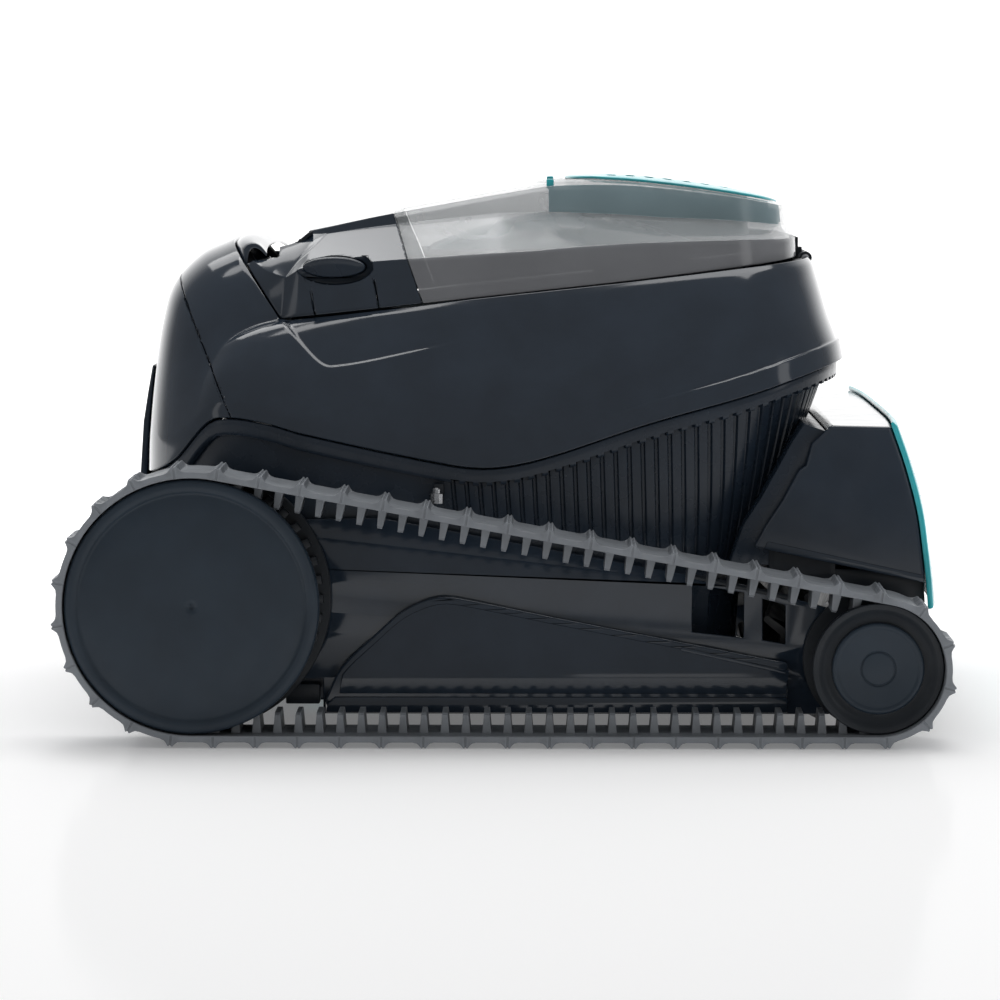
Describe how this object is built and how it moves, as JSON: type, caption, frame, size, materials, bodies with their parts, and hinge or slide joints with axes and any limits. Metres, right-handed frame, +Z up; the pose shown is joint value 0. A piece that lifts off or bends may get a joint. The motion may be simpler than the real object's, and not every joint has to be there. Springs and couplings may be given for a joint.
{
  "type": "robotic pool cleaner",
  "caption": "Tracked underwater robot that drives over a pool's floor and walls, brushing and filtering it, with a hinged lid over its filter basket.",
  "frame": {"origin": "on the floor under the middle of the machine", "axes": "+X forward, towards the bumper; +Y to the robot's left; +Z up"},
  "size_m": [0.4272, 0.4, 0.2694],
  "materials": {
    "gloss_shell": "polished dark navy shell",
    "navy_plastic": "semi-gloss dark navy",
    "dark_plastic": "satin near-black",
    "grey_rubber": "matte moulded grey rubber",
    "turquoise_plastic": "semi-gloss turquoise",
    "clear_teal": "clear tinted teal",
    "smoky_clear": "smoky clear",
    "steel": "satin stainless",
    "fine_mesh": "fine woven nylon mesh",
    "battery_wrap": "shrink-wrapped cells"
  },
  "bodies": {
    "chassis": {"chassis_base": "navy_plastic", "body_wall": "navy_plastic", "shell_band": "navy_plastic", "upper_housing": "gloss_shell", "rear_cover": "gloss_shell", "rear_panel": "navy_plastic", "carry_handle": "gloss_shell", "side_panel_left": "gloss_shell", "side_panel_right": "gloss_shell", "front_bumper": "gloss_shell", "bumper_beam": "dark_plastic", "bumper_trim": "turquoise_plastic", "bottom_plate": "navy_plastic", "motor_unit_case": "dark_plastic", "motor_unit_cover": "dark_plastic", "battery_pack": "battery_wrap", "pump_motor": "steel", "impeller_duct": "dark_plastic", "drive_motor_left": "dark_plastic", "drive_motor_right": "dark_plastic", "drive_axle_left": "steel", "drive_axle_right": "steel", "idler_axle_left": "steel", "idler_axle_right": "steel", "track_left": "grey_rubber", "track_right": "grey_rubber", "brush_bush_left": "steel", "brush_bush_right": "steel", "shell_screw_left": "steel", "shell_screw_right": "steel", "hinge_bracket": "dark_plastic", "hinge_pin": "steel", "filter_basket": "dark_plastic", "filter_screen": "fine_mesh"},
    "lid": {"lid_frame": "gloss_shell", "lid_window": "smoky_clear", "outlet_grille": "turquoise_plastic", "outlet_throat": "clear_teal", "lid_hinge_leaf": "dark_plastic", "latch_spring_left": "steel", "latch_spring_right": "steel"},
    "brush": {"brush_core": "dark_plastic", "brush_sleeve": "grey_rubber"},
    "impeller": {"impeller": "turquoise_plastic"},
    "latch_left": {"latch_button_left": "dark_plastic"},
    "wheel_left": {"drive_wheel_left": "dark_plastic", "drive_disc_left": "navy_plastic", "ring_gear_left": "steel"},
    "idler_left": {"idler_wheel_left": "dark_plastic", "idler_cap_left": "navy_plastic"},
    "pinion_left": {"drive_pinion_left": "steel"},
    "flap_left": {"inlet_flap_left": "turquoise_plastic"},
    "latch_right": {"latch_button_right": "dark_plastic"},
    "wheel_right": {"drive_wheel_right": "dark_plastic", "drive_disc_right": "navy_plastic", "ring_gear_right": "steel"},
    "idler_right": {"idler_wheel_right": "dark_plastic", "idler_cap_right": "navy_plastic"},
    "pinion_right": {"drive_pinion_right": "steel"},
    "flap_right": {"inlet_flap_right": "turquoise_plastic"}
  },
  "joints": [
    {"name": "wheel_left_spin", "type": "hinge", "parent": "chassis", "child": "wheel_left", "pos_m": [-0.1475, 0, 0.067], "axis": [0, 1, 0], "continuous": true},
    {"name": "idler_left_spin", "type": "hinge", "parent": "chassis", "child": "idler_left", "pos_m": [0.1766, 0, 0.0375], "axis": [0, 1, 0], "continuous": true},
    {"name": "pinion_left_spin", "type": "hinge", "parent": "chassis", "child": "pinion_left", "pos_m": [-0.1223, 0, 0.067], "axis": [0, 1, 0], "continuous": true},
    {"name": "flap_left_swing", "type": "hinge", "parent": "chassis", "child": "flap_left", "pos_m": [-0.0608, 0, 0.018], "axis": [0, 1, 0], "range_deg": [0, 70]},
    {"name": "latch_left_press", "type": "slide", "parent": "lid", "child": "latch_left", "axis": [0, -1, 0], "range_m": [0, 0.003], "stiffness_N_per_m": 800, "deforming": ["latch_spring_left"]},
    {"name": "wheel_right_spin", "type": "hinge", "parent": "chassis", "child": "wheel_right", "pos_m": [-0.1475, 0, 0.067], "axis": [0, 1, 0], "continuous": true},
    {"name": "idler_right_spin", "type": "hinge", "parent": "chassis", "child": "idler_right", "pos_m": [0.1766, 0, 0.0375], "axis": [0, 1, 0], "continuous": true},
    {"name": "pinion_right_spin", "type": "hinge", "parent": "chassis", "child": "pinion_right", "pos_m": [-0.1223, 0, 0.067], "axis": [0, 1, 0], "continuous": true},
    {"name": "flap_right_swing", "type": "hinge", "parent": "chassis", "child": "flap_right", "pos_m": [-0.0608, 0, 0.018], "axis": [0, 1, 0], "range_deg": [0, 70]},
    {"name": "latch_right_press", "type": "slide", "parent": "lid", "child": "latch_right", "axis": [0, 1, 0], "range_m": [0, 0.003], "stiffness_N_per_m": 800, "deforming": ["latch_spring_right"]},
    {"name": "brush_spin", "type": "hinge", "parent": "chassis", "child": "brush", "pos_m": [0.15, 0, 0.036], "axis": [0, 1, 0], "continuous": true},
    {"name": "impeller_spin", "type": "hinge", "parent": "chassis", "child": "impeller", "pos_m": [0.082, 0, 0.21], "axis": [0, 0, 1], "continuous": true},
    {"name": "lid_open", "type": "hinge", "parent": "chassis", "child": "lid", "pos_m": [0.15, 0, 0.227], "axis": [0, 1, 0], "range_deg": [0, 100]}
  ],
  "couplings": [
    {"joint": "idler_left_spin", "follows": "wheel_left_spin", "ratio": 1.8939},
    {"joint": "pinion_left_spin", "follows": "wheel_left_spin", "ratio": 3.3333},
    {"joint": "idler_right_spin", "follows": "wheel_right_spin", "ratio": 1.8939},
    {"joint": "pinion_right_spin", "follows": "wheel_right_spin", "ratio": 3.3333},
    {"joint": "brush_spin", "follows": "wheel_left_spin", "ratio": 2}
  ]
}
